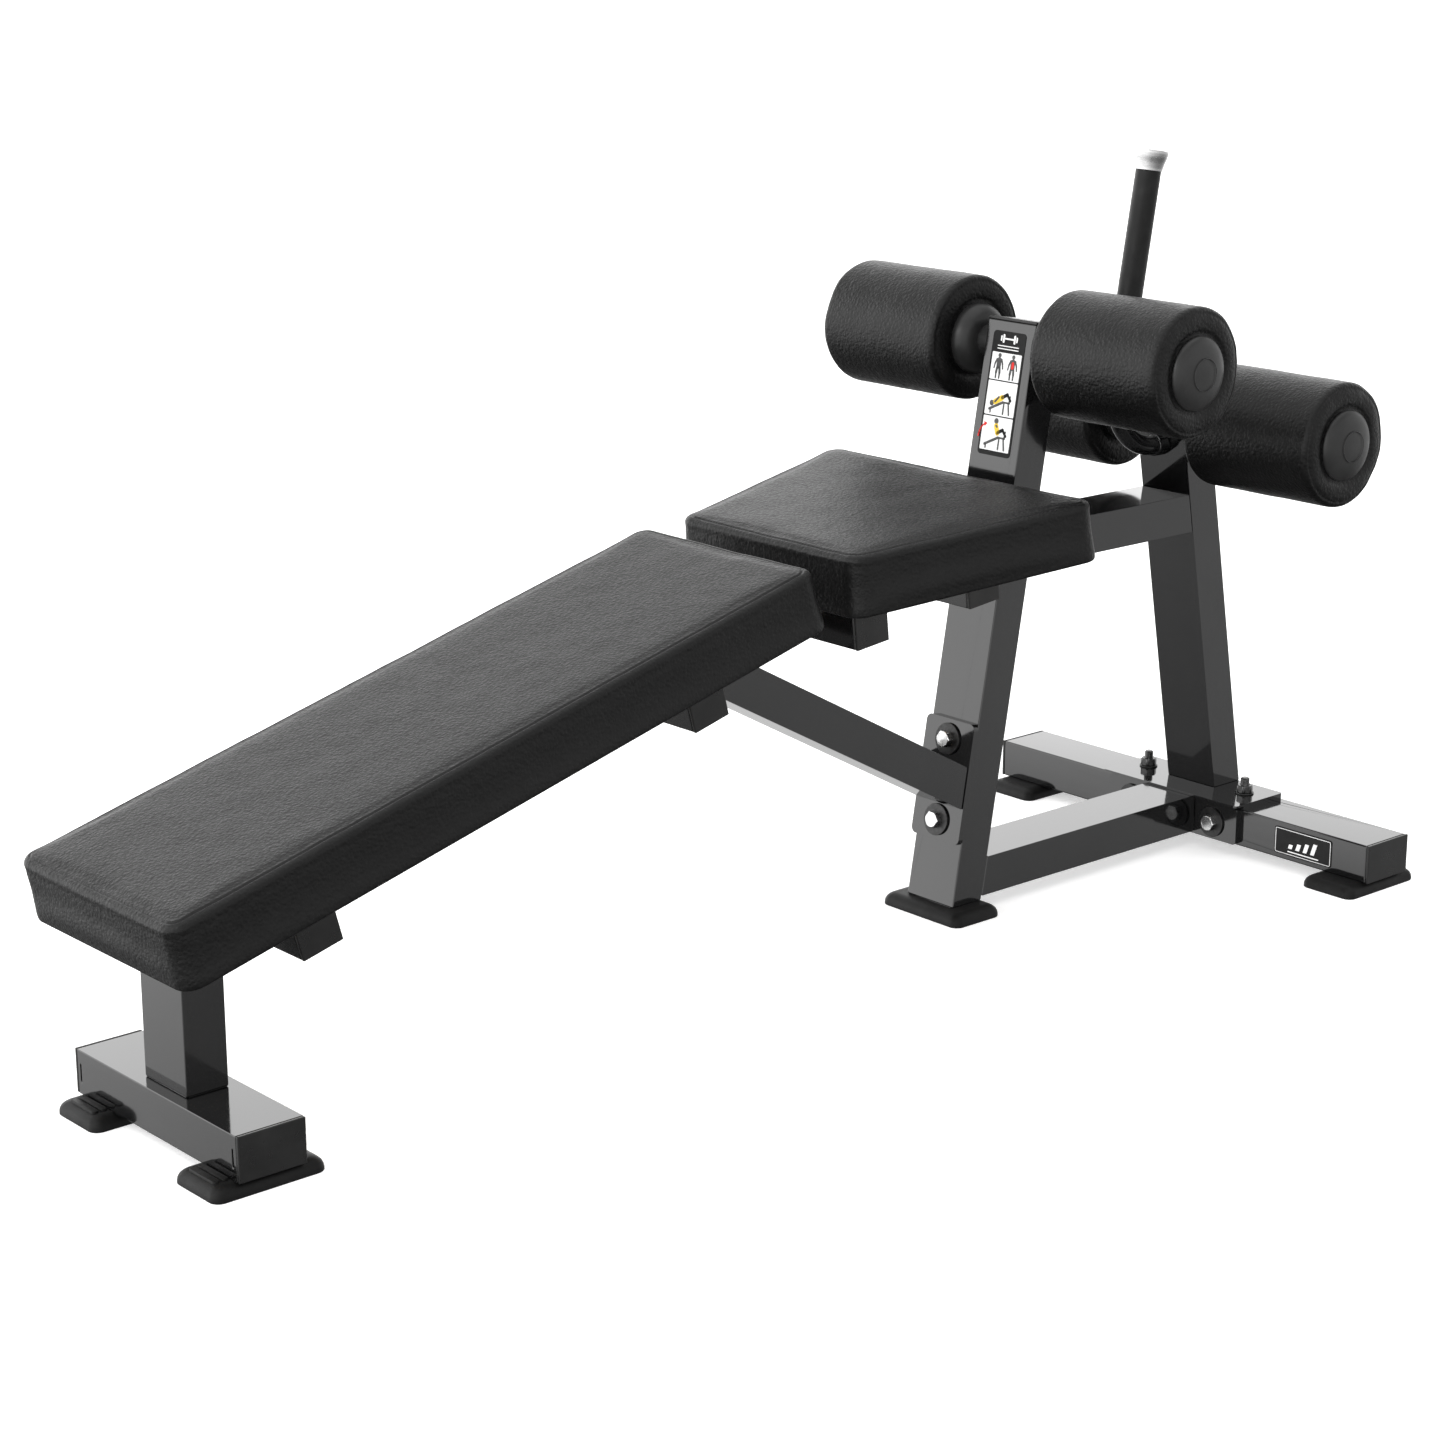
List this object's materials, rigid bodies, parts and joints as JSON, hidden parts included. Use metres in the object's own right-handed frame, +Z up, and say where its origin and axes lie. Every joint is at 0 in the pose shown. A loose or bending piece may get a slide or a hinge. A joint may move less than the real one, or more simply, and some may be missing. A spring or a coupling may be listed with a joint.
{
  "type": "decline abdominal bench",
  "caption": "Decline abdominal bench with a sloping back pad, a tapered seat, foam leg rollers on through axles, a central assist handle and a bolted box-tube frame on rubber feet.",
  "frame": {"origin": "on the floor under the middle of the bench's bounding box", "axes": "+X along the bench towards the rollers and handle, +Y to the user's left when lying on the pad looking along +X, +Z up"},
  "size_m": [1.7336, 0.64, 0.9221],
  "materials": {
    "frame_paint": "gloss black powder coat",
    "black_plastic": "satin moulded plastic",
    "core_plastic": "satin moulded plastic",
    "foot_rubber": "matte moulded rubber",
    "grip_rubber": "matte rubber sleeve",
    "bright_steel": "zinc plated",
    "dark_washer": "black oxide",
    "axle_steel": "black satin",
    "handle_chrome": "polished",
    "pad_leather": "pebbled synthetic leather",
    "roller_leather": "grained vinyl over foam",
    "plywood": "raw plywood",
    "plate_print": "printed film",
    "badge_plastic": "glossy black plate"
  },
  "bodies": {
    "frame": {"front_base_tube": "frame_paint", "front_base_plugs": "black_plastic", "front_feet": "foot_rubber", "front_post": "frame_paint", "back_rail": "frame_paint", "back_rail_plugs": "black_plastic", "back_cross_tubes": "frame_paint", "seat_cross_tubes": "frame_paint", "cross_tube_plugs": "black_plastic", "brace_tube": "frame_paint", "brace_flange": "frame_paint", "leg_bolts": "bright_steel", "leg_washers": "dark_washer", "leg_nuts": "bright_steel", "front_leg": "frame_paint", "front_leg_plug": "black_plastic", "leg_foot": "foot_rubber", "instruction_plate": "plate_print", "bottom_tube": "frame_paint", "base_flange": "frame_paint", "base_bolts": "bright_steel", "base_washers": "dark_washer", "base_nuts": "bright_steel", "rear_base_tube": "frame_paint", "rear_base_plugs": "black_plastic", "rear_feet": "foot_rubber", "base_badge": "badge_plastic", "leg_plate": "frame_paint", "plate_bolts": "bright_steel", "plate_washers": "dark_washer", "plate_nuts": "bright_steel", "rear_leg": "frame_paint", "rear_leg_plug": "black_plastic", "seat_tie_tube": "frame_paint", "seat_arm": "frame_paint", "seat_arm_plug": "black_plastic", "back_board": "plywood", "back_cushion": "pad_leather", "seat_board": "plywood", "seat_cushion": "pad_leather", "pad_screws": "bright_steel", "upper_axle": "axle_steel", "lower_axle": "axle_steel", "axle_washers": "bright_steel", "axle_bolts": "bright_steel", "handle_tube": "frame_paint", "handle_elbow": "frame_paint", "handle_socket": "frame_paint", "handle_grip": "grip_rubber", "handle_end": "handle_chrome"},
    "upper_left_roller_set": {"upper_left_roller": "roller_leather", "upper_left_core": "core_plastic"},
    "upper_right_roller_set": {"upper_right_roller": "roller_leather", "upper_right_core": "core_plastic"},
    "lower_left_roller_set": {"lower_left_roller": "roller_leather", "lower_left_core": "core_plastic"},
    "lower_right_roller_set": {"lower_right_roller": "roller_leather", "lower_right_core": "core_plastic"}
  },
  "joints": [
    {"name": "upper_left_roller_spin", "type": "hinge", "parent": "frame", "child": "upper_left_roller_set", "pos_m": [0.4446, 0.177, 0.6975], "axis": [0, 1, 0], "continuous": true},
    {"name": "upper_right_roller_spin", "type": "hinge", "parent": "frame", "child": "upper_right_roller_set", "pos_m": [0.4446, -0.177, 0.6975], "axis": [0, 1, 0], "continuous": true},
    {"name": "lower_left_roller_spin", "type": "hinge", "parent": "frame", "child": "lower_left_roller_set", "pos_m": [0.72717, 0.177, 0.578], "axis": [0, 1, 0], "continuous": true},
    {"name": "lower_right_roller_spin", "type": "hinge", "parent": "frame", "child": "lower_right_roller_set", "pos_m": [0.72717, -0.177, 0.578], "axis": [0, 1, 0], "continuous": true}
  ]
}
